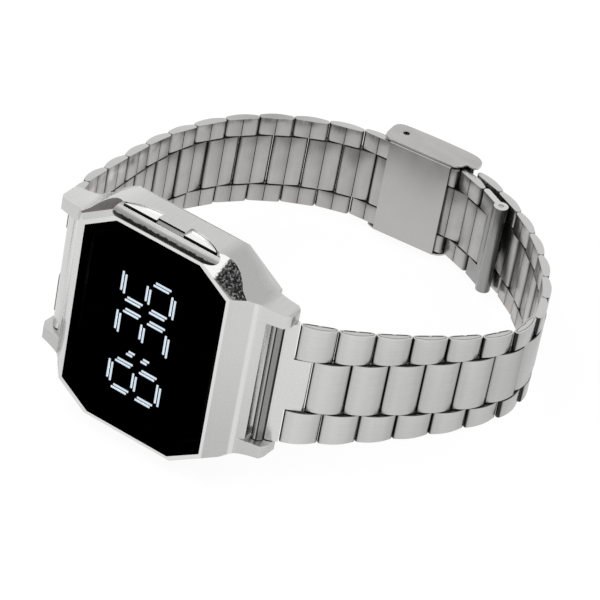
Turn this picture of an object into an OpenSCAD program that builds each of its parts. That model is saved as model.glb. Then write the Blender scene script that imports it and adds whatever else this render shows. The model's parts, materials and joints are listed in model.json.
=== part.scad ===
// LED wristwatch with an octagonal window and a tapering three-row steel bracelet.
// Origin: centre of the case back's outer face. -Y is the dial side, +X is 6 o'clock and
// +Z is 3 o'clock, so the bracelet closes round the wrist behind the case, axis along Z.
// The bracelet is drawn as it lies closed. Each joint's turn is listed below, and the turns
// at the case and at the clasp are worked out so that the two strands meet.

/* [Window] */
// Window length, 12 to 6 o'clock
lens_l = 28.4; // [24:0.2:36]
// Window width, 9 to 3 o'clock
lens_w = 38.8; // [32:0.2:48]
// Corner cut of the window along its length
lens_cut_l = 5.9; // [3:0.1:8]
// Corner cut of the window along its width
lens_cut_w = 3.9; // [2:0.1:7]
// Window thickness
lens_t = 1.4; // [0.8:0.1:2]
// Bright rim round the window
rim_w = 0.6; // [0.3:0.1:1.5]
// Clearance between parts that are assembled and stay put
fit_gap = 0.04; // [0.01:0.01:0.1]

/* [Case] */
// Case thickness, window face to case back
case_t = 10.5; // [10:0.1:14]
// Case back thickness
back_t = 1.2; // [1:0.1:2]
// Length that the front bevels add beyond the rim
bevel_out = 3.1; // [2:0.1:4]
// Depth of the front bevels
bevel_h = 3.5; // [2:0.1:4]
// Length that the second bevels add beyond the rim
waist_out = 4.7; // [4:0.1:6]
// Depth of the second bevels
waist_h = 4.8; // [4.3:0.1:5.4]
// Undercut below the second bevels, where the bracelet starts
undercut = 0.3; // [0.2:0.1:1]
// Width that the flanks add beyond the rim
flank_out = 1.4; // [1:0.1:3]
// Depth of the step where the flanks begin
step_h = 2.9; // [2.6:0.1:3.6]
// Slope of the corner facets, mm outward per mm of depth
facet_slope = 0.4; // [0.3:0.05:0.8]
// Radius of the groove along the 3 and 9 o'clock sides
groove_r = 2.2; // [1.8:0.1:2.6]
// Width between the lugs
lug_gap = 24.0; // [20:0.1:27]
// Width of one lug
lug_w = 2.4; // [2:0.1:3.4]
// Length of a lug beyond its spring bar
lug_end = 2.54; // [1.6:0.02:4]

/* [Pushers] */
// Half width of the fixed bridge between the two pushers
bridge_half = 2.7; // [1.5:0.1:4]
// Distance from the bridge to the pointed end of a pusher
pusher_l = 6.5; // [4.5:0.1:8]
// Depth of a pusher at its wide end
pusher_d = 2.1; // [1.9:0.1:2.6]
// Thickness of the pusher plate
pusher_t = 0.9; // [0.5:0.1:1.2]
// Pusher travel
pusher_travel = 0.6; // [0.3:0.1:0.8]
// Pusher stem diameter
stem_d = 1.1; // [0.8:0.1:1.3]
// Running clearance of a pusher, on the radius
pusher_gap = 0.06; // [0.02:0.01:0.1]

/* [Display] */
// Display board thickness
board_t = 0.8; // [0.5:0.1:1.2]
// Height of a lit stroke above the board
stroke_t = 0.15; // [0.1:0.05:0.3]
// Width of a stroke
stroke_w = 0.32; // [0.2:0.02:0.5]
// Distance between the two strokes of a segment
stroke_gap = 0.62; // [0.54:0.02:1]
// Digit height between its outer segments
digit_h = 9.9; // [7:0.1:13]
// Digit width between its outer segments
digit_w = 5.5; // [4.6:0.1:6.4]
// Distance from one digit's middle to the next
digit_pitch = 7.8; // [7.4:0.1:9]
// Extra distance where the colon stands
colon_w = 2.25; // [2:0.05:4]
// Distance from the case centre to the last digit, towards 3 o'clock
last_digit = 7.15; // [4:0.05:9]
// Offset of the digits towards 12 o'clock
digit_shift = 1.5; // [0:0.1:2]

/* [Movement] */
// Battery diameter
battery_d = 20.0; // [12:0.5:22]
// Battery thickness
battery_t = 2.5; // [1.6:0.1:3.2]
// Circuit board thickness
circuit_t = 0.8; // [0.5:0.1:1]
// Case back screw diameter
screw_d = 1.2; // [0.9:0.1:1.6]
// Case back screw head diameter
head_d = 2.2; // [1.9:0.1:2.6]
// Case back screw length, without its head
screw_l = 3.0; // [2.4:0.1:4]
// Width of the battery clip
clip_w = 6; // [4:0.5:9]
// Hole in the battery clip
clip_hole = 3.2; // [2:0.2:5]
// Corner cut of the case back along its length
back_cut_l = 7.4; // [7:0.1:10]
// Corner cut of the case back along its width
back_cut_w = 4.9; // [4.6:0.1:7]

/* [Bracelet links] */
// Link pitch
pitch = 6.25; // [5.6:0.05:7.5]
// Link thickness at its rounded ends
link_t = 1.2; // [1:0.1:1.8]
// Extra height of a link's domed outer face
dome = 0.4; // [0.1:0.05:0.6]
// Gap between neighbouring links
link_gap = 0.22; // [0.1:0.02:0.4]
// Gap between the centre row and the side rows
row_gap = 0.14; // [0.05:0.01:0.3]
// Width of the centre row
centre_w = 10.1; // [6:0.1:12]
// Bracelet width at the clasp
narrow_w = 17.6; // [16:0.1:19.4]
// Links over which the bracelet narrows
taper_links = 6; // [1:1:12]
// Link pin diameter
pin_d = 0.6; // [0.5:0.05:0.8]
// Running clearance of a pin, on the radius
pin_gap = 0.05; // [0.02:0.01:0.08]
// Turn of each joint on the 6 o'clock side, from the first link outwards
six_turns = [8, 7, 4, 4, 5, 11, 23, 20, 11, 8, 7, 8, 8, 9]; // [0:1:30]
// Turn of each joint on the 12 o'clock side, from the first link to the last one in the clasp
twelve_turns = [23, 12, 1, 1, 5, 9, 13, 11, 11, 9, 11, 16, 0, 0]; // [0:1:30]

/* [End links and spring bars] */
// Depth of the spring bars behind the window face
bar_depth = 6.96; // [6:0.02:8]
// Distance from a spring bar to the first link pin
end_pitch = 5.0; // [4.4:0.1:7]
// Clearance between an end link's tube and the case
end_gap = 0.31; // [0.15:0.01:0.6]
// Clearance between an end link and each lug
lug_side_gap = 0.15; // [0.08:0.01:0.4]
// Wall of an end link's tube
eye_wall = 0.3; // [0.2:0.02:0.5]
// Spring bar tube diameter
bar_d = 1.6; // [1.5:0.05:2]
// Spring bar tip diameter
tip_d = 0.9; // [0.6:0.05:1]
// Length of a tip inside its lug
tip_in = 1.2; // [0.8:0.05:1.5]
// Travel of a spring bar tip
tip_travel = 1.3; // [0.9:0.05:1.6]

/* [Clasp] */
// Cover length, from its pin to its open end
cover_l = 16.5; // [16:0.1:20]
// Height of the cover's outer face over its pin
cover_h = 2.8; // [2.6:0.1:3.6]
// Sheet thickness of the cover's plate
cover_t = 0.7; // [0.4:0.05:1]
// Sheet thickness of the side walls
wall_t = 0.34; // [0.25:0.01:0.6]
// Clearance beside the links and between the walls
wall_gap = 0.06; // [0.04:0.01:0.1]
// Space between the strands where they pass inside the clasp
strand_gap = 0.75; // [0.3:0.05:1.2]
// Sleeve length
sleeve_l = 11.9; // [11:0.1:12.4]
// Distance from the cover's pin to the sleeve
sleeve_at = 2.8; // [2:0.1:4]
// Thickness of the sleeve's wrist plate
sleeve_t = 0.55; // [0.4:0.05:1]
// Diameter of the snap hole in the cover's walls
snap_d = 1.1; // [0.8:0.05:1.4]
// Distance from the snap hole to the cover's open end
snap_at = 2.9; // [2.5:0.1:4]
// Distance from the snap hole to the lock flap's pin
flap_at = 1.5; // [1.2:0.1:2]
// Diameter of the lock flap's knuckle
knuckle_d = 1.7; // [1.5:0.05:1.9]
// Slant of the sleeve's ends
sleeve_slant = 1.6; // [1:0.1:2.4]
// Diameter of the rolled end of the strap
roll_d = 2.6; // [2.2:0.1:4]
// Space between the strap's loose end and the other strand
tail_gap = 1.0; // [0.7:0.05:1.4]
// Space between the rolled end and the other strand
roll_gap = 0.4; // [0.2:0.05:1]

/* [View] */
// Node to show

/* [Hidden] */
$fn = 48;
eps = 0.02;
far = 100;

// Case, seen from the dial: half lengths along X and half widths along Z
rim_x = lens_l / 2 + rim_w;
rim_z = lens_w / 2 + rim_w;
end_x = rim_x + waist_out - undercut;
flank_z = rim_z + flank_out;
eye_d = bar_d + 2 * (pin_gap + eye_wall);
bar_x = end_x + eye_d / 2 + end_gap;
lug_x = bar_x + lug_end;

// Depths, along Y
back_y = -back_t;
front_y = -case_t;
lens_y = front_y + lens_t;
step_y = front_y + step_h;
bar_y = front_y + bar_depth;

// Inside of the case
ledge = 1.2;                      // seat under the window, each side
strokes_deep = 0.75;              // space between the window and the display board
board_x = lens_l / 2 - ledge;
board_z = lens_w / 2 - 1.4 * ledge;
board_y = lens_y + strokes_deep + board_t;
cavity_x = board_x + 1;
cavity_z = board_z - 1.1;
cavity_cut = 4.4;
holder_x = cavity_x - 0.2;
holder_z = cavity_z - 1.5;
holder_y = board_y + 0.5;
holder_wall = 1.4;
holder_cut = cavity_cut - 0.9;
holder_back = back_y - 0.3;
battery_y = holder_back - 0.2;
screw_out = 1.7;                  // from the middle of the cavity's corner cut
screw_x = cavity_x - cavity_cut / 2 + screw_out;
screw_z = cavity_z - cavity_cut / 2 + screw_out;
head_h = back_t / 2;
back_rim = 3.1;                   // width of the case back round the cavity
gasket_w = 0.5;
gasket_h = 0.5;

// Pushers
plate_z = flank_z - 0.35;         // outer face of a pusher, just inside the flank
floor_z = plate_z - pusher_t - pusher_travel - 0.1;
stem_x = bridge_half + 1.9;
stem_y = step_y + 0.95;
stem_in = cavity_z - 0.5;
spring_h = 0.9;
seal_h = 0.5;
seal_z = floor_z - spring_h - 0.25 - seal_h;
spring_d = stem_d + 0.72;
pocket_d = spring_d + 0.08;

// Spring bars
tube_end = lug_gap / 2 - 0.3;
tip_l = 2.6;                      // length of a tip inside the tube

// Links
link_r = link_t / 2;
bore_d = pin_d + 2 * pin_gap;
centre_z = centre_w / 2;
side_z = centre_z + row_gap;
pin_z = side_z + 1;
wide_w = lug_gap - 2 * lug_side_gap;
behind = pitch / 4 - link_gap / 2;    // reach of a side piece behind its pin
ahead = pitch * 3 / 4 - link_gap / 2; // reach of a side piece past its pin

// Clasp: the strap's last links lie inside, at this height under the cover's pin
held_link = 12;                   // the link that holds the sleeve
last_link = 15;
rise = link_t + dome + strand_gap;
held_x = 3 * pitch - 0.15;        // from the cover's pin to the held link's pin
wall_z = narrow_w / 2 + wall_gap;
cover_z = wall_z + wall_t + 0.05;
sleeve_y = link_r + wall_gap;     // inner face of the wrist plate, in the held link's frame
snap_x = held_x - cover_l + snap_at;
snap_y = -rise - 0.45;
flap_x = snap_x + flap_at;
flap_y = -rise - 0.35;
rib_x = 1.75 * pitch;             // between the two links after the held one
roll_from = pitch / 4 + link_gap / 2;
roll_x = roll_from + 1 + roll_d / 2; // from the last pin to the middle of the rolled end

function two_digits(k) = str(k < 10 ? "0" : "", k);
function link_name(side, k) = str(side, "_link_", two_digits(k));
six_links = len(six_turns);

// Places along a strand, from its spring bar and along its end link
function turned(turns, k) = k == 0 ? 0 : turned(turns, k - 1) + turns[k - 1];
function along(a) = [cos(a), sin(a)];
function step(turns, k) = (k == 0 ? end_pitch : pitch) * along(turned(turns, k));
function pin_at(turns, k) = k == 0 ? [0, 0] : pin_at(turns, k - 1) + step(turns, k - 1);
function spun(p, a) = [p[0] * cos(a) - p[1] * sin(a), p[0] * sin(a) + p[1] * cos(a)];

// Both strands end at the cover's pin, which closes a triangle with the two spring bars
to_cover_six = pin_at(six_turns, six_links + 1);
to_cover_twelve = pin_at(twelve_turns, held_link)
    + spun([held_x, -rise], turned(twelve_turns, held_link));
function heading_of_end(own, other) = let (a = norm(own), b = norm(other), c = 2 * bar_x)
    180 - acos((a * a + c * c - b * b) / (2 * a * c)) - atan2(own[1], own[0]);
six_heading = heading_of_end(to_cover_six, to_cover_twelve);
twelve_heading = heading_of_end(to_cover_twelve, to_cover_six);
cover_heading = 360 - twelve_heading - turned(twelve_turns, held_link);

// The loose end's two turns, seen from the sleeve, keep it beside the other strand's links
last_back = cover_heading - six_heading - turned(six_turns, six_links);
next_back = last_back + six_turns[six_links - 1];
loose_from = [(last_link - held_link) * pitch, 0] - [held_x, -rise] - pitch * along(last_back);
loose_in = loose_from[1] * cos(next_back) - loose_from[0] * sin(next_back);
loose_turn = next_back + asin((link_t + tail_gap - loose_in) / pitch);
roll_turn = next_back - loose_turn
    + asin((link_r + roll_d / 2 + roll_gap - link_t - tail_gap) / roll_x);
all_twelve_turns = concat(twelve_turns, [loose_turn, roll_turn]);

module strand_place(turns, first, k) {
    p = pin_at(turns, k);
    translate([bar_x, bar_y, 0]) rotate([0, 0, first])
        translate([p[0], p[1], 0]) rotate([0, 0, turned(turns, k)]) children();
}
module six(k) strand_place(six_turns, six_heading, k) children();
module twelve(k) mirror([1, 0, 0])
    strand_place(all_twelve_turns, twelve_heading, k) children();
module at_cover() {
    p = spun(to_cover_six, six_heading);
    translate([bar_x + p[0], bar_y + p[1], 0]) rotate([0, 0, cover_heading]) children();
}

// A 2D outline in X and Z, thick from y0 to y1
module slab(y0, y1) {
    translate([0, y1, 0]) rotate([90, 0, 0]) linear_extrude(y1 - y0) children();
}
// A 2D outline in X and Y, thick from z0 to z1
module layer(z0, z1) { translate([0, 0, z0]) linear_extrude(z1 - z0) children(); }
module both_z(z0, z1) {
    layer(z0, z1) children();
    layer(-z1, -z0) children();
}
module both_x() {
    children();
    mirror([1, 0, 0]) children();
}
module rod(d, z0, z1) { translate([0, 0, z0]) cylinder(d = d, h = z1 - z0); }
module upright(d, y0, y1) {
    translate([0, y1, 0]) rotate([90, 0, 0]) cylinder(d = d, h = y1 - y0);
}
// Rectangle with cut corners: half sizes x and z, cuts cx and cz
module octagon(x, z, cx, cz) {
    polygon([[x, z - cz], [x - cx, z], [cx - x, z], [-x, z - cz], [-x, cz - z],
        [cx - x, -z], [x - cx, -z], [x, cz - z]]);
}
function curve(a, b, c, n) = [for (i = [0:n]) let (t = i / n)
    a * (1 - t) * (1 - t) + 2 * b * t * (1 - t) + c * t * t];
function flip_x(points) = [for (i = [len(points) - 1:-1:0]) [-points[i][0], points[i][1]]];
function flip_z(points) = [for (i = [len(points) - 1:-1:0]) [points[i][0], -points[i][1]]];

// Case outline seen from the dial: flank crest, hollow, then the lug
module case_outline() {
    x = lug_x;
    z = lug_gap / 2 + lug_w;
    f = flank_z;
    h = f - z;
    quarter = concat(curve([x, z - 0.5], [x - 0.1, z], [x - 0.8, z + 0.05], 3),
        curve([x - 1.4, z + 0.08], [x - 5.4, z + 0.3], [x - 7.2, z + 0.3 * h], 6),
        curve([x - 7.8, z + 0.37 * h], [x - 11.4, f], [x - 16.2, f], 8));
    upper = concat(quarter, flip_x(quarter));
    polygon(concat(upper, flip_z(upper)));
}
module length_profile() both_x() polygon([[-eps, front_y], [rim_x, front_y],
    [rim_x + bevel_out, front_y + bevel_h], [rim_x + waist_out, front_y + waist_h],
    [end_x, front_y + waist_h + 1], [end_x, back_y], [-eps, back_y]]);
module width_profile() difference() {
    both_x() polygon([[-eps, front_y], [rim_z, front_y], [rim_z + 0.5, step_y],
        [flank_z, step_y], [flank_z, back_y - 1.2], [flank_z - 0.8, back_y], [-eps, back_y]]);
    both_x() translate([rim_z + 2.0, front_y + 1.2]) circle(groove_r);
}
// The four corner facets run parallel to the window's corner cuts
module corner_cuts() {
    a = atan2(lens_cut_l, lens_cut_w);
    reach = rim_x * cos(a) + (rim_z - lens_cut_w) * sin(a);
    for (sx = [0, 1], sz = [0, 1]) mirror([sx, 0, 0]) mirror([0, 0, sz])
        rotate([0, -a, 0]) translate([reach, 0, 0]) layer(-far, far)
            polygon([[0, front_y - 1], [0, front_y],
                [facet_slope * case_t, front_y + case_t], [far, 0], [far, front_y - 1]]);
}
module lug_profile() {
    inner = end_x - 3;
    top = front_y + bevel_h + 0.4;
    polygon([[inner, top], [end_x - 1.1, top], [lug_x - 0.7, bar_y - 1.96],
        [lug_x, bar_y - 0.76], [lug_x - 0.1, back_y - 0.6], [lug_x - 0.9, back_y],
        [inner, back_y]]);
}
// Half-eye outline of a pusher, straight along the groove and arched behind
module pusher_outline(g) {
    x0 = bridge_half + 0.05 - g;
    x1 = bridge_half + pusher_l + 3 * g;
    polygon(concat([[x0, step_y - g], [x1, step_y - g]],
        curve([x1, step_y + 0.05 + g],
            [(x0 + x1) / 2 + 1.2, step_y + pusher_d + g], [x0, step_y + pusher_d + g], 6)));
}
module case_body() color("Silver") difference() {
    union() {
        intersection() {
            layer(-far, far) length_profile();
            rotate([0, -90, 0]) layer(-far, far) width_profile();
            slab(front_y, back_y) case_outline();
            difference() {
                slab(front_y, back_y) square(far, center = true);
                corner_cuts();
            }
        }
        intersection() {
            both_x() both_z(lug_gap / 2, lug_gap / 2 + lug_w + 6) lug_profile();
            slab(step_y, back_y) case_outline();
        }
    }
    slab(front_y - 1, lens_y) octagon(lens_l / 2 + fit_gap, lens_w / 2 + fit_gap,
        lens_cut_l, lens_cut_w);
    slab(lens_y - eps, board_y) octagon(board_x, board_z, lens_cut_l, lens_cut_w);
    slab(board_y - eps, back_y + 1) octagon(cavity_x, cavity_z, cavity_cut, cavity_cut);
    both_x() {
        layer(floor_z, far) pusher_outline(pusher_gap);
        translate([stem_x, stem_y, 0]) {
            rod(stem_d + 2 * pusher_gap, 0, far);
            rod(pocket_d, floor_z - spring_h - 0.1, floor_z + eps);
            rod(pocket_d + 0.1, seal_z, seal_z + seal_h);
        }
        translate([bar_x, bar_y, 0])
            rod(tip_d + 2 * pin_gap, -lug_gap / 2 - tip_in - 0.2, lug_gap / 2 + tip_in + 0.2);
        for (s = [-1, 1]) translate([screw_x, 0, s * screw_z])
            upright(screw_d, -head_h - screw_l - 0.2, back_y + 1);
    }
    slab(back_y - gasket_h, back_y + 1) gasket_ring(fit_gap);
}
module gasket_ring(g) {
    x = cavity_x + 0.3;
    z = cavity_z + 0.3;
    difference() {
        octagon(x + gasket_w + g, z + gasket_w + g, cavity_cut, cavity_cut);
        octagon(x - g, z - g, cavity_cut, cavity_cut);
    }
}

module lens() color("Black") slab(front_y, lens_y)
    octagon(lens_l / 2, lens_w / 2, lens_cut_l, lens_cut_w);
module display_board() color("DarkSlateGray") slab(board_y - board_t, board_y)
    octagon(board_x - 0.1, board_z - 0.1, lens_cut_l, lens_cut_w);

// One segment: two parallel strokes, shifted along each other
module segment(l) for (s = [-1, 1])
    translate([s * 0.2 - l / 2 + 0.2, s * stroke_gap / 2 - stroke_w / 2])
        square([l - 0.4, stroke_w]);
// Segments a to g as in any seven-segment digit, x along the digit's width
module digit(on) {
    w = digit_w / 2;
    h = digit_h / 2;
    across = digit_w - 1.4;
    side = h - 1.5;
    if (on[0]) translate([0, h]) segment(across);
    if (on[1]) translate([w, h / 2]) rotate(90) segment(side);
    if (on[2]) translate([w, -h / 2]) rotate(90) segment(side);
    if (on[3]) translate([0, -h]) segment(across);
    if (on[4]) translate([-w, -h / 2]) rotate(90) segment(side);
    if (on[5]) translate([-w, h / 2]) rotate(90) segment(side);
    if (on[6]) segment(digit_w - 2.2);
}
module led_strokes() color("White") slab(board_y - board_t - stroke_t, board_y - board_t)
    translate([-digit_shift, last_digit]) rotate(90) {
        digit([1, 0, 1, 1, 1, 1, 1]);
        translate([-digit_pitch, 0]) digit([1, 1, 1, 1, 0, 0, 1]);
        translate([-2 * digit_pitch - colon_w, 0]) digit([1, 1, 1, 1, 1, 1, 1]);
        for (s = [-1, 1])
            translate([-1.5 * digit_pitch - colon_w / 2, s * 0.27 * digit_w]) rotate(90)
                segment(1.6);
    }

module module_holder() color("DimGray") difference() {
    slab(holder_y, holder_back) octagon(holder_x, holder_z, holder_cut, holder_cut);
    slab(holder_y - 1, holder_y + circuit_t + 0.5)
        octagon(holder_x - holder_wall, holder_z - holder_wall, 2, 2);
    upright(battery_d + 0.4, battery_y - battery_t - 0.05, back_y + 1);
}
module circuit_board() color("DarkGreen") slab(holder_y + 0.3, holder_y + 0.3 + circuit_t)
    octagon(holder_x - holder_wall - 0.1, holder_z - holder_wall - 0.1, 2, 2);
module battery() color("LightSteelBlue") upright(battery_d, battery_y - battery_t, battery_y);
module battery_clip() color("Gold") slab(holder_back, holder_back + 0.25) difference() {
    square([clip_w, 2 * holder_z - 1], center = true);
    circle(d = clip_hole);
}

module case_back() color("Gainsboro") difference() {
    slab(back_y + fit_gap / 2, 0) octagon(end_x - 1.1, cavity_z + back_rim, back_cut_l, back_cut_w);
    both_x() for (s = [-1, 1]) translate([screw_x, 0, s * screw_z]) {
        upright(screw_d + 0.3, back_y - 1, 1);
        upright(head_d + 0.2, -head_h, 1);
    }
}
module back_gasket() color("Black") slab(back_y - gasket_h, back_y) gasket_ring(0);
module back_screws() color("LightGray") both_x() for (s = [-1, 1])
    translate([screw_x, 0, s * screw_z]) difference() {
        union() {
            upright(screw_d - 0.04, -head_h - screw_l, eps - head_h);
            upright(head_d, -head_h, -0.05);
        }
        slab(-0.3, 1) square([0.4, head_d + 1], center = true);
    }

module pusher() {
    layer(plate_z - pusher_t, plate_z) pusher_outline(0);
    translate([stem_x, stem_y, 0]) rod(stem_d, stem_in, plate_z - pusher_t + eps);
}
module pusher_six() color("Silver") pusher();
module pusher_twelve() color("Silver") mirror([1, 0, 0]) pusher();
module stem_ring(d, gap, z0, z1) both_x() translate([stem_x, stem_y, 0]) difference() {
    rod(d, z0, z1);
    rod(stem_d + 2 * gap, 0, far);
}
module pusher_springs() color("LightGray")
    stem_ring(spring_d, 0.12, floor_z - spring_h, floor_z);
module pusher_seals() color("Black") stem_ring(pocket_d, 0.02, seal_z, seal_z + seal_h);

module spring_bar_tubes() color("LightGray") both_x() translate([bar_x, bar_y, 0])
    difference() {
        rod(bar_d, -tube_end, tube_end);
        rod(tip_d + 2 * pin_gap, -far, far);
    }
module spring_bar_springs() color("Gray") both_x() translate([bar_x, bar_y, 0]) {
    z = lug_gap / 2 - tip_l - tip_travel - 0.1;
    rod(tip_d - 0.1, -z, z);
}
module bar_tip() color("LightGray") translate([bar_x, bar_y, 0])
    rod(tip_d, lug_gap / 2 - tip_l, lug_gap / 2 + tip_in);
module tip_six_top() bar_tip();
module tip_six_bottom() mirror([0, 0, 1]) bar_tip();
module tip_twelve_top() mirror([1, 0, 0]) bar_tip();
module tip_twelve_bottom() mirror([1, 0, 0]) mirror([0, 0, 1]) bar_tip();

// Side view of a link from x0 to x1: round ends, domed outer face, fold seam inside
module link_section(x0, x1) {
    l = x1 - x0 - link_t;
    dome_r = (l * l / 4 + dome * dome) / (2 * dome);
    difference() {
        union() {
            for (x = [x0 + link_r, x1 - link_r]) translate([x, 0]) circle(link_r);
            translate([x0 + link_r, -link_r]) square([l, link_t]);
            intersection() {
                translate([(x0 + x1) / 2, dome_r - link_r - dome]) circle(dome_r, $fn = 96);
                translate([x0 + link_r, -link_r - dome]) square([l, link_r]);
            }
        }
        translate([(x0 + x1) / 2 - 0.08, link_r - 0.25]) square([0.16, 1]);
    }
}
function strap_z(k) = max(narrow_w, wide_w - (wide_w - narrow_w) * k / taper_links) / 2;
// Everything outside the strap's slanting edge, between half widths z0 at x0 and z1 at x1
module edge_cut(x0, z0, x1, z1) for (s = [0, 1]) mirror([0, 0, s]) {
    slope = (z1 - z0) / (x1 - x0);
    slab(-far, far) polygon([[x0 - 5, z0 - 5 * slope], [x1 + 5, z1 + 5 * slope],
        [x1 + 5, far], [x0 - 5, far]]);
}
// One link: two side pieces and a centre piece on a fixed pin, and the pin that turns in
// the centre piece before it
module link(k) difference() {
    union() {
        difference() {
            both_z(side_z, strap_z(k - 1)) link_section(-behind, ahead);
            if (k <= taper_links) edge_cut(-behind, strap_z(k - 1), ahead, strap_z(k));
        }
        layer(-centre_z, centre_z) link_section(pitch / 2 - behind, pitch / 2 + ahead);
        for (x = [0, pitch / 2]) translate([x, 0, 0]) rod(pin_d, -pin_z, pin_z);
    }
    translate([pitch, 0, 0]) rod(bore_d, -far, far);
}
module six_link(k) color("Silver") six(k) link(k);
module twelve_link(k) color("Silver") twelve(k) link(k);

// End link: a tube round the spring bar, a plate between the lugs and a centre tongue
module end_link() {
    shoulder = end_pitch - pitch / 4 - link_gap / 2;
    tongue = end_pitch + behind;
    groove = eye_d / 2 + 0.2;
    difference() {
        union() {
            rod(eye_d, -wide_w / 2, wide_w / 2);
            layer(-wide_w / 2, wide_w / 2) {
                translate([0, -0.45]) square([groove + 1, 0.9]);
                translate([groove, -link_r]) square([shoulder - groove, link_t]);
            }
            layer(-centre_z, centre_z) {
                translate([tongue - link_r, 0]) circle(link_r);
                translate([shoulder - 1, -link_r]) square([tongue - link_r - shoulder + 1, link_t]);
            }
        }
        rod(bar_d + 2 * pin_gap, -far, far);
        translate([end_pitch, 0, 0]) rod(bore_d, -far, far);
    }
}
module end_link_six() color("Silver") six(0) end_link();
module end_link_twelve() color("Silver") twelve(0) end_link();

// Last piece of the strap: two side pieces, a plate and a rolled end
module tail_end() color("Silver") twelve(last_link + 1) {
    z = narrow_w / 2;
    both_z(side_z, z) {
        translate([link_r - behind, 0]) circle(link_r);
        translate([link_r - behind, -link_r]) square([behind + roll_from, link_t]);
    }
    rod(pin_d, -pin_z, pin_z);
    difference() {
        union() {
            layer(-z, z) translate([roll_from, -link_r]) square([roll_x - roll_from, link_t]);
            translate([roll_x, 0, 0]) rod(roll_d, -z, z);
        }
        translate([roll_x, 0, 0]) rod(roll_d - 1.6, -far, far);
    }
}

// Side view of the cover, x from its pin towards its open end, -y outward
module cover_outline() {
    x = cover_l;
    h = cover_h;
    y = rise + sleeve_y + sleeve_t - 0.5;
    r = 1.25;
    polygon(concat(curve([-r, 0], [-r, 0.9 - h], [0.6, 0.25 - h], 5),
        curve([2, 0.02 - h], [x / 2, -0.3 - h], [x - 2.5, -h], 6),
        curve([x - 1.5, 0.1 - h], [x, 0.4 - h], [x, 1.9 - h], 4),
        [[x, y - 1.7]], curve([x - 0.2, y - 0.7], [x - 1, y], [x - 2.4, y], 4),
        curve([3.6, y], [1.6, y], [0.9, 1.0], 5), curve([0.8, 0.95], [-r, 1.5], [-r, 0.1], 5)));
}
module clasp_cover() color("Silver") at_cover() {
    difference() {
        both_z(cover_z, cover_z + wall_t) cover_outline();
        translate([held_x - snap_x, rise + snap_y, 0]) rod(snap_d, -far, far);
    }
    layer(-cover_z - eps, cover_z + eps) difference() {
        intersection() {
            cover_outline();
            translate([0.7, -far]) square([far, far - 2]);
        }
        translate([0, cover_t]) cover_outline();
    }
    rod(pin_d, -cover_z - eps, cover_z + eps);
}
// Sleeve round the strap's last links, in the frame of the link that holds it
module clasp_sleeve() color("Silver") twelve(held_link) {
    x1 = held_x - sleeve_at;
    x0 = x1 - sleeve_l;
    top = flap_y - 1;
    layer(-wall_z - wall_t, wall_z + wall_t) translate([x0, sleeve_y])
        square([sleeve_l, sleeve_t]);
    difference() {
        both_z(wall_z, wall_z + wall_t)
            polygon([[x0, sleeve_y + eps], [x0, top + sleeve_slant], [x0 + 0.8, top], [flap_x + 3, top],
                [x1 - sleeve_slant, -0.6], [x1, 0.3], [x1, sleeve_y + eps]]);
        translate([flap_x, flap_y, 0]) rod(bore_d, -far, far);
    }
    for (s = [0, 1]) mirror([0, 0, s]) translate([snap_x, snap_y, 0])
        rod(snap_d - 0.3, wall_z + 0.1, wall_z + wall_t + 0.03);
}
// Lock flap: lies on the links, its rib between two of their side pieces
module lock_flap() color("Silver") twelve(held_link) {
    z = wall_z - 0.1;
    y = -link_r - dome - 0.1;
    x1 = rib_x + 0.66;
    translate([flap_x, flap_y, 0]) {
        rod(pin_d, eps - wall_z - wall_t, wall_z + wall_t - eps);
        rod(knuckle_d, -z, z);
    }
    layer(-z, z) polygon([[flap_x - 0.3, flap_y + 0.75], [flap_x, flap_y - 0.8],
        [flap_x + 2.2, y - 0.7], [x1, y - 0.7], [x1, y], [flap_x + 1.4, y]]);
    both_z(side_z + 0.1, z - 0.1) translate([rib_x - 0.2, y - 0.1]) square([0.4, 0.55]);
}

case_body();
lens();
display_board();
led_strokes();
module_holder();
circuit_board();
battery();
battery_clip();
case_back();
back_gasket();
back_screws();
pusher_twelve();
pusher_six();
pusher_springs();
pusher_seals();
spring_bar_tubes();
spring_bar_springs();
tip_six_top();
tip_six_bottom();
tip_twelve_top();
tip_twelve_bottom();
end_link_six();
end_link_twelve();
tail_end();
clasp_cover();
clasp_sleeve();
lock_flap();
for (k = [1:six_links]) six_link(k);
for (k = [1:last_link]) twelve_link(k);
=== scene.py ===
import bpy
import bmesh
import json
import math
from mathutils import Vector, Matrix


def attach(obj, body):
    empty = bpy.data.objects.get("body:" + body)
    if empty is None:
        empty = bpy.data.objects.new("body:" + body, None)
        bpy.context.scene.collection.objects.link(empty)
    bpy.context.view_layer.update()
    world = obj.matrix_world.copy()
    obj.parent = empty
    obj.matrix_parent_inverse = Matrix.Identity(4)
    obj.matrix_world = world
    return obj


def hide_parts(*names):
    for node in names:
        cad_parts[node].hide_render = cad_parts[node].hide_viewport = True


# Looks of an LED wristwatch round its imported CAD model. Sizes in the settings are millimetres.
mm = 0.001
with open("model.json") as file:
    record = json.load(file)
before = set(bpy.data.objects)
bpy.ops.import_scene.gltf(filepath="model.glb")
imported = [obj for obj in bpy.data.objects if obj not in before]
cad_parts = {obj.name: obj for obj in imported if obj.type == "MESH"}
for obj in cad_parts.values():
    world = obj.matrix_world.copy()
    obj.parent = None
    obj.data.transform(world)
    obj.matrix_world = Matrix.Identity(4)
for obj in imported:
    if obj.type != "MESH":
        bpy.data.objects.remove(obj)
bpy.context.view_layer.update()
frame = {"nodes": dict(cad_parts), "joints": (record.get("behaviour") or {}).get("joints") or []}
nodes = frame["nodes"]
pinPlace = {j["name"]: Vector(j["pos_m"]) / mm for j in frame["joints"] if "pos_m" in j}
bpy.context.scene.view_settings.view_transform = "Standard"
print("model loaded,", len(nodes), "pieces")

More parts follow.
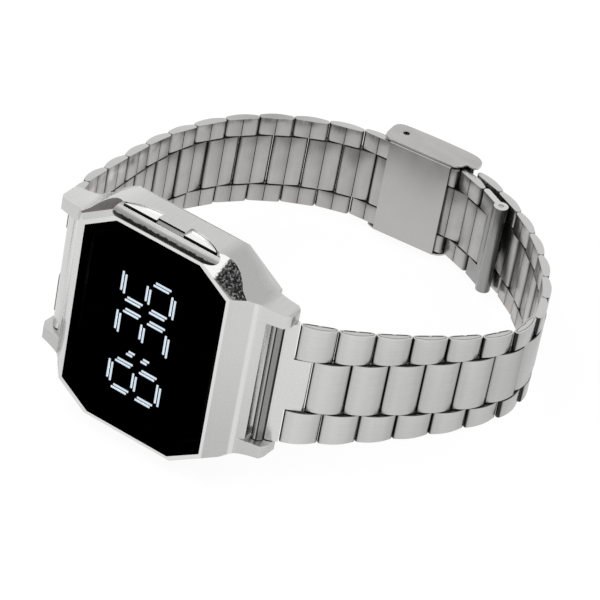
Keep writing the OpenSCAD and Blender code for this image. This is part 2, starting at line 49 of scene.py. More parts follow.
# fitted to the photograph; right and up are the picture's own directions
viewpoint = {"place": (262.64, -443.68, 369.30), "right": (0.80983, 0.56533, 0.15678),
             "up": (-0.4377, 0.40429, 0.8031), "focal": 231.14, "sensor": 36, "clip": (10, 10000)}


def makeCamera(p):
    data = bpy.data.cameras.new("camera")
    data.sensor_width = p["sensor"]
    data.lens = p["focal"]
    data.clip_start, data.clip_end = (c * mm for c in p["clip"])
    camera = bpy.data.objects.new("camera", data)
    bpy.context.scene.collection.objects.link(camera)
    right, upward = Vector(p["right"]).normalized(), Vector(p["up"]).normalized()
    back = right.cross(upward).normalized()
    turn = Matrix((right, back.cross(right), back)).transposed().to_4x4()
    turn.translation = Vector(p["place"]) * mm
    camera.matrix_world = turn
    bpy.context.scene.camera = camera


makeCamera(viewpoint)
print("camera")


class Tree:
    def __init__(self, nodeTree):
        self.nodeTree = nodeTree
        nodeTree.nodes.clear()

    def add(self, kind, *values, out=0, settings=None, **named):
        node = self.nodeTree.nodes.new(kind)
        for key, value in (settings or {}).items():
            setattr(node, key, value)
        for key, value in [*enumerate(values), *((k.replace("_", " "), v) for k, v in named.items())]:
            if isinstance(value, Socket):
                self.nodeTree.links.new(value.out, node.inputs[key])
            elif value is not None:
                node.inputs[key].default_value = value
        return Socket(self, node.outputs[out]) if node.outputs else None

    def outputs(self, first, *names):
        return [Socket(self, first.out.node.outputs[n]) for n in names]

    def split(self, vector):
        return self.outputs(self.add("ShaderNodeSeparateXYZ", vector), "X", "Y", "Z")

    def mix(self, factor, low, high):
        low, high = ((*c, 1) if isinstance(c, tuple) and len(c) == 3 else c for c in (low, high))
        return self.add("ShaderNodeMix", factor, *[None] * 5, low, high, out=2,
                        settings={"data_type": "RGBA"})

    def scaled(self, vector, by):
        return self.add("ShaderNodeVectorMath", vector, by, settings={"operation": "MULTIPLY"})

    def place(self):
        return self.scaled(self.add("ShaderNodeTexCoord", out="Object"), (1 / mm, 1 / mm, 1 / mm))

    def facing(self):
        return self.split(self.add("ShaderNodeTexCoord", out="Normal"))

    def noise(self, vector, scale, detail=2.0, rough=0.5):
        # round nought; three scales stretch the pattern into streaks
        if isinstance(scale, tuple):
            vector, scale = self.scaled(vector, scale), 1.0
        pattern = self.add("ShaderNodeTexNoise", Vector=vector, Scale=scale, Detail=detail, Roughness=rough)
        return pattern - 0.5


class Socket:
    def __init__(self, tree, out):
        self.tree, self.out = tree, out

    def maths(self, operation, *others):
        return self.tree.add("ShaderNodeMath", self, *others, settings={"operation": operation})

    def __add__(self, other): return self.maths("ADD", other)
    def __radd__(self, other): return self.maths("ADD", other)
    def __sub__(self, other): return self.maths("SUBTRACT", other)
    def __rsub__(self, other): return (self * -1.0) + other
    def __mul__(self, other): return self.maths("MULTIPLY", other)
    def __rmul__(self, other): return self.maths("MULTIPLY", other)
    def __neg__(self): return self.maths("MULTIPLY", -1.0)
    def __abs__(self): return self.maths("ABSOLUTE")

    def step(self, low, high):
        return self.tree.add("ShaderNodeMapRange", self, low, high, 0.0, 1.0,
                             settings={"interpolation_type": "SMOOTHSTEP"})

    def upTo(self, low, high):
        return 1.0 - self.step(low, high)

    def between(self, low, high, soft):
        return self.step(low - soft, low + soft) * self.upTo(high - soft, high + soft)

    def towards(self, other, factor):
        return self + (other - self) * factor


# the background and the floor are white, the light on the watch is plain
light = {"world": 0.66, "key": 1.9, "keyPlace": (-260, -420, 700), "fill": 0.7,
         "fillPlace": (640, -260, 260), "size": 700, "aim": (0, 25, 0)}


def whiteSeen(t, level):
    rays = t.add("ShaderNodeLightPath")
    camera, glossy, through = t.outputs(rays, "Is Camera Ray", "Is Glossy Ray", "Is Transmission Ray")
    return (camera + glossy + through).maths("MINIMUM", 1.0) * level


def makeWorld(p):
    world = bpy.data.worlds.new("world")
    bpy.context.scene.world = world
    world.use_nodes = True
    t = Tree(world.node_tree)
    shade = t.add("ShaderNodeBackground", (1, 1, 1, 1), whiteSeen(t, 1.0 - p["world"]) + p["world"])
    t.add("ShaderNodeOutputWorld", shade)


def makeLamp(name, p):
    data = bpy.data.lights.new(name, "AREA")
    data.energy = p[name]
    data.size = p["size"] * mm
    lamp = bpy.data.objects.new(name, data)
    bpy.context.scene.collection.objects.link(lamp)
    place = Vector(p[name + "Place"])
    lamp.location = place * mm
    lamp.rotation_euler = (place - Vector(p["aim"])).to_track_quat("Z", "Y").to_euler()


makeWorld(light)
makeLamp("key", light)
makeLamp("fill", light)
print("world and lamps")

# tones are linear: 0.60 shows as a light steel grey, 0.35 as a middle one
# brown tints only the painted reflection on the facet at 12 o'clock
steelTint = {"cool": (1.0, 0.997, 0.99), "warm": (1.0, 0.982, 0.962), "brown": (1.0, 0.93, 0.89)}
finishes = {}


def makeFinish(name, build, **uniform):
    finishes[name] = bpy.data.materials.new(name)
    finishes[name].use_nodes = True
    t = Tree(finishes[name].node_tree)
    shader = t.add("ShaderNodeBsdfPrincipled", **{"Metallic": 1.0, **uniform, **build(t)})
    t.add("ShaderNodeOutputMaterial", Surface=shader)


def steel(t, tone, tint, streak, vary, rough):
    tint = steelTint[tint] if isinstance(tint, str) else tint
    return {"Base Color": t.mix(tone, (0, 0, 0), tint), "Roughness": streak * vary + rough}


# tones of the case's faces, then the places where they change. Apart from grain, the brushing, the tones are
# painted light, shade and reflection by facing and place: edge is a painted highlight, the groove tones are
# painted shade, and facet, speck, facetTop and farFacet are painted reflections
caseLook = {"bevel": 0.59, "second": 0.62, "rim": 0.72, "ridge": 0.70, "flank": 0.57, "turned": 0.43,
            "low": 0.16, "farSide": 0.07, "farBevel": 0.08, "recess": 0.46, "lugEnd": 0.47, "edge": 0.88,
            "grooveDark": 0.012, "grooveLight": 0.30, "facet": 0.015, "speck": 0.26, "facetTop": 0.92,
            "farFacet": 0.11, "grain": 0.09,
            "secondAt": 17.85, "ridgeAt": (17.65, 18.25), "ridgeEdgeAt": (17.5, 18.3), "ridgeTopAt": -9.9,
            "rimAt": -10.4, "windowAt": 17.3, "recessAt": (18.9, 19.6), "lugEndAt": 22.4,
            "grooveCentre": (-9.3, 22.0), "grooveRadius": 2.2, "grooveEndAt": 11.4, "shadeAt": -9.0,
            "grooveTopAt": -7.36, "facetWay": (0.51, -0.37, 0.774), "facetTopAt": 11.1, "farFacetAt": -8.9,
            "pocketX": (2.3, 9.72), "pocketY": (-7.35, -4.0), "pocketZ": 18.9, "pocketLip": 20.75,
            "flankFace": 20.6}


def hollowShade(t):
    # painted shade: 1 in the pushers' pockets and on the walls that look into the case, which are painted
    # black
    p = caseLook
    x, y, z = t.split(t.place())
    nx, ny, nz = t.facing()
    ax, az = abs(x), abs(z)
    deep = az.step(p["pocketZ"], p["pocketZ"] + 0.2)
    pocket = deep * y.between(*p["pocketY"], 0.03) * ax.between(*p["pocketX"], 0.02)
    face = az.step(p["flankFace"], p["flankFace"] + 0.1) * abs(nz).step(0.85, 0.95)
    wall = pocket * (1.0 - face) * az.upTo(p["pocketLip"], p["pocketLip"] + 0.2)
    inward = (-(x * nx + z * nz)).step(1.0, 3.0) * ax.upTo(p["windowAt"], p["windowAt"] + 0.3)
    return wall.maths("MAXIMUM", inward * y.step(p["rimAt"] - 0.06, p["rimAt"] - 0.02))


def caseSteel(t):
    p = caseLook
    place = t.place()
    x, y, z = t.split(place)
    nx, ny, nz = t.facing()
    ax, az, side, front = abs(x), abs(z), abs(nz), -ny
    near, far = x.step(-1, 1), x.upTo(-1, 1)
    flank = side.step(0.80, 0.97)
    streak = t.noise(place, (0.3, 3.0, 5.0), 3.0).towards(t.noise(place, (5.0, 0.25, 3.0), 3.0), flank)
    # painted light and shade by facing and place: bevels, second bevel, ridge, flank and rim each get a tone,
    # the far flank is lighter, the far bevels and a band where the case turns on the near side are darker,
    # the case darkens towards −z, and the brushing grain is added
    tone = flank * ((-x).step(4, 12) * p["farSide"] + (p["flank"] - p["bevel"])) + p["bevel"]
    tone = tone.towards(p["second"], ax.step(p["secondAt"], p["secondAt"] + 0.15) * front.step(0.3, 0.5))
    tone = tone.towards(p["turned"], nx.between(0.32, 0.85, 0.15) * abs(ny).upTo(0.1, 0.3))
    tone = tone * (1.0 - (-z).step(-10, 18) * p["low"])
    tone = tone.towards(p["ridge"], ax.between(*p["ridgeAt"], 0.15) * front.step(0.3, 0.5))
    tone = tone.towards(p["rim"], front.step(0.97, 0.99) * y.maths("LESS_THAN", p["rimAt"]))
    tone = tone * (1.0 - (-x).step(8, 14) * (1.0 - flank) * p["farBevel"]) + streak * p["grain"]
    # painted shade in the groove: light towards the back and dark towards the front, with a ragged line
    # between
    down, out = y - p["grooveCentre"][0], az - p["grooveCentre"][1]
    groove = abs((down * down + out * out).maths("SQRT") - p["grooveRadius"]).upTo(0.05, 0.09)
    groove = groove * ax.upTo(p["grooveEndAt"], p["grooveEndAt"] + 0.2)
    ragged = y + t.noise(place, (1.6, 2.0, 2.0), 3.0) * 0.9
    inside = ragged.step(p["shadeAt"] - 0.15, p["shadeAt"] + 0.15)
    inside = inside * (t.noise(place, (0.3, 6.0, 6.0), 3.0) * 0.5 + 1.0)
    inside = inside * (p["grooveLight"] - p["grooveDark"]) + p["grooveDark"]
    inside = inside * y.upTo(p["grooveTopAt"], p["grooveTopAt"] + 0.08)
    tone = tone.towards(inside, groove * y.upTo(p["grooveTopAt"] + 0.14, p["grooveTopAt"] + 0.20))
    # painted reflections on the polished corner facets: dark and speckled with a bright top at 6 o'clock,
    # dark brown at 12
    fx, fy, fz = p["facetWay"]
    facet = (abs(nx) * fx + ny * fy + side * fz).step(0.975, 0.99)
    rough = t.noise(place, 2.6, 3.0, 0.7)
    facetReflection = rough.step(-0.04, 0.18) * p["speck"] + p["facet"]
    facetReflection = facetReflection.towards(p["facetTop"], (x + rough * 1.2).upTo(p["facetTopAt"], p["facetTopAt"] + 0.3))
    tone = tone.towards(facetReflection, facet * near)
    brown = facet * far * y.step(p["farFacetAt"], p["farFacetAt"] + 0.2)
    tone = tone.towards(p["farFacet"] + streak * 0.1, brown)
    # painted shade: darker tones on the lugs' ends and on the recess beside the end links
    lugEnd = abs(nx).step(0.85, 0.95) * ax.step(p["lugEndAt"], p["lugEndAt"] + 0.2)
    recess = abs(nx).step(0.9, 0.98) * ax.between(*p["recessAt"], 0.05)
    tone = tone.towards(p["lugEnd"] + streak * 0.2, lugEnd).towards(p["recess"] + streak * 0.1, recess)
    # painted shade: the pockets and the walls inside the window turn black
    tone = tone * (1.0 - hollowShade(t))
    return steel(t, tone, t.mix(brown, steelTint["cool"], steelTint["brown"]), streak, 0.3, 0.24)


def caseEdgeHighlight(t):
    # painted highlights: thin bright lines along the case's edges, but none round the pushers and in the
    # window's opening, where painted shade keeps them black
    p = caseLook
    place = t.place()
    x, y, z = t.split(place)
    streak = t.noise(place, (0.6, 0.6, 0.6), 2.0)
    ridge = abs(x).between(*p["ridgeEdgeAt"], 0.1) * y.step(p["ridgeTopAt"], p["ridgeTopAt"] + 0.2)
    tone = (streak * 0.2 + p["edge"]).towards(p["ridge"], ridge) * (1.0 - hollowShade(t))
    return steel(t, tone, "cool", streak, 0.1, 0.18)


makeFinish("case_steel", caseSteel)
makeFinish("case_edge_highlight", caseEdgeHighlight)

# tones of the links; dark, the inner joint shade, side, lean, fall, bend and endFar are painted shade, and
# shine is a painted reflection
linkTone = {"outer": 0.59, "inner": 0.42, "end": 0.54, "endFar": 0.33, "dark": 0.03, "innerJointShade": 0.09,
            "grain": 0.20, "blotch": 0.07, "patch": 0.25, "shine": 1.6, "fall": 0.13, "bend": 0.12,
            "lean": 0.30, "side": 0.26, "rows": (4.94, 5.30)}


def linkSteel(t):
    p = linkTone
    facing = t.add("ShaderNodeAttribute", out="Vector", settings={"attribute_name": "facing"})
    lean, outward, end = t.split(facing)
    flat = t.add("ShaderNodeUVMap", settings={"uv_map": "flat"})
    place = t.place()
    x, y, z = t.split(place)
    inner = outward.step(-0.3, 0.3)
    outer = 1.0 - inner
    # the brush marks run along the strap outside and across it inside
    streak = t.noise(flat, (0.25, 5.0, 1.0), 3.0).towards(t.noise(flat, (2.6, 0.2, 1.0), 3.0), inner)
    blotch = t.noise(place, 0.14, 1.0) * p["blotch"]
    patch = t.noise(place, 0.33, 1.0) * inner * p["patch"]
    # painted reflections: bright and dark spots near the +z ends of the inner faces
    shine = t.noise(place, 0.5, 1.0) * inner * z.step(7.2, 8.6) * p["shine"]
    # the inner faces are darker; painted shade darkens faces that turn along the strap, and lean makes each
    # face lighter where it leans back and darker where it leans ahead
    tone = (inner * (p["inner"] - p["outer"]) + p["outer"]) * (1.0 - abs(lean).step(0.10, 0.42) * p["side"])
    tone = tone * (streak * p["grain"] + blotch + patch + shine + 1.0 - lean * p["lean"])
    # painted shade in the joints across the strap and between its rows
    rows = abs(z).between(*p["rows"], 0.03)
    dark = inner * (p["innerJointShade"] - p["dark"]) + p["dark"]
    tone = tone.towards(dark, abs(lean).step(0.45, 0.80)).towards(dark * 1.5, rows * 0.85)
    # painted shade on the outer faces where the strap falls away and round the bend
    tone = tone * (1.0 - (y.step(-3, 14) * p["fall"] + y.step(18, 32) * p["bend"]) * outer)
    # painted shade on the link ends, lighter on the near ones and darker on the far ones
    ends = x.step(-22, -6).maths("MAXIMUM", y.upTo(35, 55)) * (p["end"] - p["endFar"]) + p["endFar"]
    tone = tone.towards(ends * (streak * 0.1 + 1.0), abs(end).step(0.55, 0.85) * (1.0 - rows))
    warm = inner * abs(end).upTo(0.5, 0.8)
    return steel(t, tone, t.mix(warm, steelTint["cool"], steelTint["warm"]), streak, 0.2, 0.30)


makeFinish("link_steel", linkSteel)

coverTone = {"face": 0.50, "side": 0.46, "cloud": 0.22, "hole": (2.66, 61.34), "holeRadius": 0.60}


def coverSteel(t):
    # cloudy side walls, and painted shade that makes the snap hole dark
    p = coverTone
    place = t.place()
    x, y, z = t.split(place)
    streak = t.noise(place, (0.5, 0.5, 5.0), 3.0)
    cloud = t.noise(place, (0.22, 0.45, 0.22), 2.0) * p["cloud"] + 1.0
    side = abs(t.facing()[2]).step(0.8, 0.95)
    tone = ((streak * 0.10 + 1.0) * p["face"]).towards(cloud * p["side"], side)
    across, up = x - p["hole"][0], y - p["hole"][1]
    away = (across * across + up * up).maths("SQRT")
    tone = tone * away.step(p["holeRadius"], p["holeRadius"] + 0.08)
    return steel(t, tone, "warm", streak, 0.2, 0.3)


makeFinish("cover_steel", coverSteel)

endTone = {"face": 0.65, "left": 0.38, "right": 0.25, "line": 0.015, "tubeEnd": 21.80}


def endLinkSteel(t):
    # a light plate; on the tube that shows beside the case, painted shade in two bands by facing and thin
    # painted dark lines
    p = endTone
    place = t.place()
    x, y, z = t.split(place)
    nx, ny, nz = t.facing()
    streak = t.noise(place, (0.4, 3.0, 5.0), 3.0)
    tone = (streak * 0.12 + 1.0) * p["face"]
    tube = (streak * 0.1 + p["left"]).towards(streak * 0.1 + p["right"], nx.step(0.28, 0.36))
    tube = tube.towards(p["line"], nx.between(0.16, 0.36, 0.05)).towards(p["line"], nx.step(0.88, 0.96))
    shown = x.step(-1, 1) * x.upTo(p["tubeEnd"], p["tubeEnd"] + 0.06) * abs(nz).upTo(0.3, 0.6)
    return steel(t, tone.towards(tube, shown), "cool", streak, 0.2, 0.26)


makeFinish("end_link_steel", endLinkSteel)

sleeveTone = {"plate": 0.47, "ends": 0.03}


def sleeveSteel(t):
    # painted shade on the cut ends, seen as a dark line between the sleeve and the links
    p = sleeveTone
    way = (pinPlace["tail_bend"] - pinPlace["bend_twelve_12"]).normalized()
    place = t.place()
    nx, ny, nz = t.facing()
    streak = t.noise(place, (0.5, 0.5, 0.3), 3.0)
    tone = (streak * 0.10 + t.noise(place, 0.3, 1.0) * 0.05 + 1.0) * p["plate"]
    tone = tone.towards(p["ends"], abs(nx * way.x + ny * way.y).step(0.6, 0.8))
    return steel(t, tone, "warm", streak, 0.2, 0.34)


makeFinish("sleeve_steel", sleeveSteel)

pusherTone = {"face": 0.89, "side": 0.03, "grain": 0.06}


def pusherSteel(t):
    # painted light and shade by facing: a near-white face and black sides
    p = pusherTone
    nx, ny, nz = t.facing()
    streak = t.noise(t.place(), (5.0, 0.3, 3.0), 3.0)
    tone = abs(nz).step(0.9, 0.97) * (streak * p["grain"] + (p["face"] - p["side"])) + p["side"]
    return steel(t, tone, "cool", streak, 0.2, 0.2)


makeFinish("pusher_steel", pusherSteel)

tailTone = {"light": 0.30, "dark": 0.10, "end": 0.62, "grain": 0.10, "away": (0.82, 0.57)}


def tailSteel(t):
    # painted light and shade on the rolled end: light on the side of the sleeve, dark towards the other
    # strand, and lighter end faces
    p = tailTone
    nx, ny, nz = t.facing()
    streak = t.noise(t.place(), (2.0, 2.0, 0.25), 2.0)
    turned = nx * p["away"][0] + ny * p["away"][1]
    tone = (streak * p["grain"] + (p["light"] - p["dark"])) * turned.upTo(-0.2, 0.6) + p["dark"]
    tone = tone.towards(streak * 0.05 + p["end"], abs(nz).step(0.8, 0.95))
    return steel(t, tone, "cool", streak, 0.2, 0.26)


makeFinish("tail_steel", tailSteel)

# link_slot_shade paints the links' seams and end slots dark, as shade inside them
plainSteel = {"link_slot_shade": {"tone": 0.08, "rough": 0.5},
              "flap_steel": {"tone": 0.5, "grain": (0.5, 0.5, 5.0)},
              "back_steel": {"tone": 0.55, "grain": (0.25, 3.0, 6.0)},
              "spring_steel": {"tone": 0.45, "grain": (3.0, 3.0, 9.0)},
              "battery_steel": {"tone": 0.58, "rough": 0.28, "grain": (2.0, 2.0, 2.0)}}


def steelOf(tone, rough=0.3, grain=(0.4, 3.0, 4.0)):
    def build(t):
        place = t.place()
        streak = t.noise(place, grain, 3.0)
        value = (streak * 0.10 + t.noise(place, 0.3, 1.0) * 0.05 + 1.0) * tone
        return steel(t, value, "cool", streak, 0.2, rough)
    return build


for name, look in plainSteel.items():
    makeFinish(name, steelOf(**look))

# the window lets a quarter of the light through each of its faces
speckled = {"window": {"colour": (0.0, 0.0, 0.0), "rough": 0.12},
            "display_black": {"colour": (0.0005, 0.0005, 0.0005), "rough": 0.6},
            "holder_plastic": {"colour": (0.008, 0.008, 0.008), "rough": 0.5},
            "rubber_black": {"colour": (0.012, 0.012, 0.012), "rough": 0.6},
            "contact_brass": {"colour": (0.72, 0.52, 0.24), "rough": 0.3, "scale": 2.0, "amount": 0.12}}
ownSockets = {"window": {"Specular_IOR_Level": 0.0, "Alpha": 0.74},
              "display_black": {"Specular_IOR_Level": 0.0},
              "contact_brass": {"Metallic": 1.0}}


def speckledOf(colour, rough, scale=3.0, amount=0.3):
    def build(t):
        speck = t.noise(t.place(), scale, 3.0)
        low, high = (tuple(c * k for c in colour) for k in (1 - amount, 1 + amount))
        return {"Base Color": t.mix(speck + 0.5, low, high), "Roughness": speck * 0.2 + rough}
    return build


for name, look in speckled.items():
    makeFinish(name, speckledOf(**look), **{"Metallic": 0.0, **ownSockets.get(name, {})})

boardTone = {"varnish": (0.008, 0.075, 0.032), "track": (0.03, 0.16, 0.06), "waves": (1.7, 2.2)}


def boardLook(t):
    # thin copper tracks under the green varnish
    p = boardTone
    x, y, z = t.split(t.place())
    track = ((z * p["waves"][1]).maths("SINE") * (x * p["waves"][0]).maths("SINE")).step(0.55, 0.65)
    return {"Base Color": t.mix(track, p["varnish"], p["track"]), "Roughness": track * 0.1 + 0.35}


makeFinish("board_green", boardLook, Metallic=0.0)

litTone = {"body": (0.8, 0.85, 0.9, 1), "low": (0.72, 0.86, 1.0), "high": (0.86, 0.95, 1.0), "strength": 12.5}


def litLook(t):
    p = litTone
    glow = t.noise(t.place(), 1.5, 1.0)
    return {"Base Color": p["body"], "Emission Color": t.mix(glow + 0.5, p["low"], p["high"]),
            "Roughness": glow * 0.1 + 0.5}


makeFinish("lit_strokes", litLook, Metallic=0.0, Emission_Strength=litTone["strength"])

worn = {"case_body": "case_steel", "lens": "window", "display_board": "display_black",
        "led_strokes": "lit_strokes", "module_holder": "holder_plastic", "circuit_board": "board_green",
        "battery": "battery_steel", "battery_clip": "contact_brass", "case_back": "back_steel",
        "back_gasket": "rubber_black", "pusher_seals": "rubber_black", "pusher_twelve": "pusher_steel",
        "pusher_six": "pusher_steel", "end_link_six": "end_link_steel", "end_link_twelve": "end_link_steel",
        "back_screws": "spring_steel", "tail_end": "tail_steel", "clasp_cover": "cover_steel",
        "clasp_sleeve": "sleeve_steel", "lock_flap": "flap_steel"}
for name, piece in nodes.items():
    look = worn.get(name, "link_steel" if "_link_" in name else "spring_steel")
    piece.data.materials.clear()
    piece.data.materials.append(finishes[look])
print("finishes")

# folded sheet links: a domed face, round ends, a fold seam inside, and a slot in the end that shows
linkShape = {"pitch": 6.25, "gap": 0.005, "rowGap": 0.14, "thick": 1.2, "dome": 0.4, "centre": 10.1,
             "wide": 23.7, "narrow": 17.6, "taper": 6, "edge": 0.08, "lowEdge": 0.2, "seam": 0.14,
             "seamDeep": 0.25, "pin": 0.6, "slotIn": 0.26, "slot": 0.09, "slotDeep": 0.3, "slotLinks": 7,
             "endSteps": 6, "faceSteps": 8}


def vertsOf(geom):
    return [g for g in geom if isinstance(g, bmesh.types.BMVert)]


def capOf(bm, way):
    bm.normal_update()
    return [f for f in bm.faces if f.normal.z * way > 0.8]


def pushIn(bm, faces, way):
    out = bmesh.ops.extrude_face_region(bm, geom=faces)["geom"]
    bmesh.ops.delete(bm, geom=faces, context="FACES_ONLY")
    moved = vertsOf(out)
    bmesh.ops.translate(bm, vec=way, verts=moved)
    for v in moved:
        for f in v.link_faces:
            # the second finish paints these sunk faces dark, as shade
            f.material_index = 1


def linkBar(p, x0, x1, z0, z1, slopes, edges, slots):
    # the outline is spun in three arcs, then pushed across the strap from z0 to z1
    bm = bmesh.new()
    r, mid = p["thick"] / 2, (x0 + x1) / 2
    half = (x1 - x0) / 2 - r
    bow = (half ** 2 + p["dome"] ** 2) / (2 * p["dome"])
    start = last = bm.verts.new((x0 + r, r, 0))
    arcs = ((x0 + r, 0, math.pi, p["endSteps"]),
            (mid, bow - r - p["dome"], 2 * math.asin(half / bow), p["faceSteps"]),
            (x1 - r, 0, math.pi, p["endSteps"]))
    for cx, cy, angle, steps in arcs:
        out = bmesh.ops.spin(bm, geom=[last], cent=(cx, cy, 0), axis=(0, 0, 1), angle=angle, steps=steps)
        last = vertsOf(out["geom_last"])[0]
    bm.edges.new((last, start))
    bmesh.ops.contextual_create(bm, geom=bm.edges[:])
    top = vertsOf(bmesh.ops.extrude_face_region(bm, geom=bm.faces[:])["geom"])
    bottom = [v for v in bm.verts if v not in set(top)]
    for verts, z, slope in ((bottom, z0, slopes[0]), (top, z1, slopes[1])):
        shear = Matrix(((1, 0, 0, 0), (0, 1, 0, 0), (slope, 0, 1, z - slope * x0), (0, 0, 0, 1)))
        bmesh.ops.transform(bm, matrix=shear, verts=verts)
    bmesh.ops.recalc_face_normals(bm, faces=bm.faces[:])
    for way, width in ((-1, edges[0]), (1, edges[1])):
        rim = [e for f in capOf(bm, way) for e in f.edges]
        bmesh.ops.bevel(bm, geom=rim, offset=width, offset_type="OFFSET", segments=2, profile=0.5,
                        affect="EDGES", material=-1)
    for dx in (-0.5, 0.5):
        bmesh.ops.bisect_plane(bm, geom=bm.verts[:] + bm.edges[:] + bm.faces[:], dist=1e-5,
                               plane_co=(mid + dx * p["seam"], 0, 0), plane_no=(1, 0, 0))
    bm.normal_update()
    strip = [f for f in bm.faces
             if f.normal.y > 0.99 and abs(f.calc_center_median().x - mid) < p["seam"] / 2]
    pushIn(bm, strip, (0, -p["seamDeep"], 0))
    for way, cut in ((-1, slots[0]), (1, slots[1])):
        if cut:
            cap = [f for f in capOf(bm, way) if len(f.edges) > 3 and f.calc_area() > 0.05]
            bmesh.ops.inset_region(bm, faces=cap, thickness=p["slotIn"], use_even_offset=True)
            ring = bmesh.ops.inset_region(bm, faces=cap, thickness=p["slot"], use_even_offset=True)["faces"]
            pushIn(bm, ring, (0, 0, -way * p["slotDeep"]))
    return bm


def addPin(whole, p, x, reach):
    bmesh.ops.create_cone(whole, cap_ends=True, segments=16, radius1=p["pin"] / 2, radius2=p["pin"] / 2,
                          depth=2 * reach, matrix=Matrix.Translation((x, 0, 0)))


def strapHalf(p, k):
    return max(p["narrow"], p["wide"] - (p["wide"] - p["narrow"]) * k / p["taper"]) / 2


def makeObject(name, bm, looks, sharp=38):
    mesh = bpy.data.meshes.new(name)
    bm.to_mesh(mesh)
    bm.free()
    piece = bpy.data.objects.new(name, mesh)
    bpy.context.scene.collection.objects.link(piece)
    for look in looks:
        mesh.materials.append(look)
    for f in mesh.polygons:
        f.use_smooth = True
    mesh.set_sharp_from_angle(angle=math.radians(sharp))
    return piece


def markFacing(bm):
    # the normal and the place on the link itself, for a finish that follows the strap
    bm.normal_update()
    facing, flat = bm.loops.layers.float_color.new("facing"), bm.loops.layers.uv.new("flat")
    for f in bm.faces:
        for loop in f.loops:
            n = loop.vert.normal if loop.vert.normal.dot(f.normal) > 0.82 else f.normal
            loop[facing] = (n.x, n.y, n.z, 1)
            loop[flat].uv = (loop.vert.co.x, loop.vert.co.z)


def makeLink(p, side, k, pin, way, body):
    behind, ahead = p["pitch"] / 4 - p["gap"] / 2, p["pitch"] * 3 / 4 - p["gap"] / 2
    centre, inner = p["centre"] / 2, p["centre"] / 2 + p["rowGap"]
    wide = strapHalf(p, k - 1)
    slope = (strapHalf(p, k) - wide) / (behind + ahead)
    slot = side == "six" and k <= p["slotLinks"]
    step = p["pitch"] / 2
    edges = (p["lowEdge"], p["edge"])
    whole = bmesh.new()
    for bar in (linkBar(p, -behind, ahead, inner, wide, (0, slope), edges, (False, slot)),
                linkBar(p, -behind, ahead, -wide, -inner, (-slope, 0), edges, (slot, False)),
                linkBar(p, step - behind, step + ahead, -centre, centre, (0, 0), edges, (False, False))):
        markFacing(bar)
        part = bpy.data.meshes.new("bar")
        bar.to_mesh(part)
        bar.free()
        whole.from_mesh(part)
        bpy.data.meshes.remove(part)
    for x in (0, step):
        addPin(whole, p, x, inner + 1)
    inward = Vector((way.y, -way.x)) if side == "twelve" else Vector((-way.y, way.x))
    turn = Matrix(((way.x, inward.x, 0, pin.x), (way.y, inward.y, 0, pin.y), (0, 0, 1, 0), (0, 0, 0, 1)))
    bmesh.ops.transform(whole, matrix=Matrix.Diagonal((mm, mm, mm, 1)) @ turn, verts=whole.verts)
    bmesh.ops.recalc_face_normals(whole, faces=whole.faces[:])
    name = f"{side}_link_{k:02d}"
    piece = makeObject("look_" + name, whole, [finishes["link_steel"], finishes["link_slot_shade"]])
    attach(piece, body)
    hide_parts(name)


def makeLinks(p):
    pins = [pinPlace[f"bend_six_{k:02d}"] for k in range(1, 15)] + [pinPlace["clasp_cover_open"]]
    for k in range(1, 15):
        makeLink(p, "six", k, pins[k - 1], (pins[k] - pins[k - 1]).normalized(), f"six_link_{k:02d}")
    # three links of the other strand lie still in the sleeve
    pins = [pinPlace[f"bend_twelve_{k:02d}"] for k in range(1, 13)]
    last = pinPlace["tail_bend"]
    held = (last - pins[-1]) / 3
    pins += [pins[-1] + held, pins[-1] + held * 2, last, pinPlace["tail_end_bend"]]
    for k in range(1, 16):
        body = "clasp_end" if 12 <= k <= 14 else f"twelve_link_{k:02d}"
        makeLink(p, "twelve", k, pins[k - 1], (pins[k] - pins[k - 1]).normalized(), body)


makeLinks(linkShape)
print("links")

# the wire inside the rolled end of the loose strap
wire = {"centre": (26.07, 56.06), "radius": 0.49, "length": 17.4}


def makeWire(p):
    bm = bmesh.new()
    bmesh.ops.create_cone(bm, cap_ends=True, segments=24, radius1=p["radius"] * mm, radius2=p["radius"] * mm,
                          depth=p["length"] * mm, matrix=Matrix.Translation(Vector((*p["centre"], 0)) * mm))
    piece = makeObject("tail_wire", bm, [finishes["spring_steel"]])
    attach(piece, "tail_end")


makeWire(wire)
print("wire")

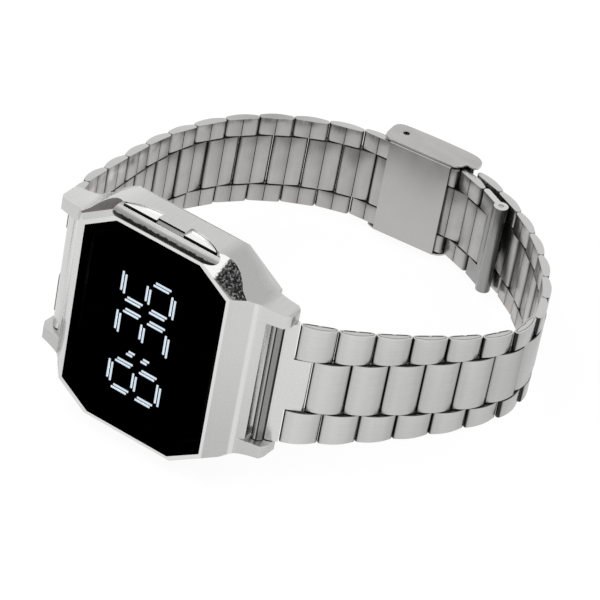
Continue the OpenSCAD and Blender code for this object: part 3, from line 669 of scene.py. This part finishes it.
# the other pieces keep their solids, with small bevels; a bright material, a painted highlight, runs along
# the edges of the case and the clasp cover
edgeWidth = {"case_body": 0.10, "lens": 0.06, "pusher_six": 0.05, "pusher_twelve": 0.05, "clasp_cover": 0.09,
             "clasp_sleeve": 0.06, "lock_flap": 0.06, "end_link_six": 0.08, "end_link_twelve": 0.08,
             "tail_end": 0.10, "case_back": 0.08}
edgeStyle = {"bright": ("case_body", "clasp_cover"), "weld": 0.002, "flat": 0.5, "steps": 2, "sharp": 30,
             "caseSharp": 18, "split": 35}


def softEdges(name, width, p):
    piece = nodes[name]
    weld = piece.modifiers.new("weld", "WELD")
    weld.merge_threshold = p["weld"] * mm
    flat = piece.modifiers.new("flat", "DECIMATE")
    flat.decimate_type = "DISSOLVE"
    flat.angle_limit = math.radians(p["flat"])
    bevel = piece.modifiers.new("bevel", "BEVEL")
    bevel.width = width * mm
    bevel.segments = p["steps"]
    bevel.limit_method = "ANGLE"
    bevel.angle_limit = math.radians(p["caseSharp" if name == "case_body" else "sharp"])
    if name in p["bright"]:
        piece.data.materials.append(finishes["case_edge_highlight"])
        bevel.material = 1
    for f in piece.data.polygons:
        f.use_smooth = True
    split = piece.modifiers.new("split", "EDGE_SPLIT")
    split.split_angle = math.radians(p["split"])


for name, width in edgeWidth.items():
    softEdges(name, width, edgeStyle)
print("edges")

# a wide sheet, tilted so that the watch stands on it as in the photograph
ground = {"tilt": 10.0, "size": 900, "under": (0, -1.0, -21.6), "colour": 0.92, "lift": 0.86, "white": 1.06}


def makeGround(p):
    tilt = math.radians(p["tilt"])
    upward = Vector((0, -math.sin(tilt), math.cos(tilt)))
    bm = bmesh.new()
    bmesh.ops.create_grid(bm, x_segments=1, y_segments=1, size=p["size"] * mm / 2)
    turn = Vector((0, 0, 1)).rotation_difference(upward).to_matrix().to_4x4()
    turn.translation = Vector(p["under"]) * mm
    bmesh.ops.transform(bm, matrix=turn, verts=bm.verts)
    paper = bpy.data.materials.new("paper")
    paper.use_nodes = True
    t = Tree(paper.node_tree)
    sheet = t.add("ShaderNodeBsdfDiffuse", (*[p["colour"]] * 3, 1))
    glow = t.add("ShaderNodeEmission", (1, 1, 1, 1), p["white"])
    t.add("ShaderNodeOutputMaterial", t.add("ShaderNodeMixShader", whiteSeen(t, p["lift"]), sheet, glow))
    makeObject("ground", bm, [paper])


makeGround(ground)
print("ground")
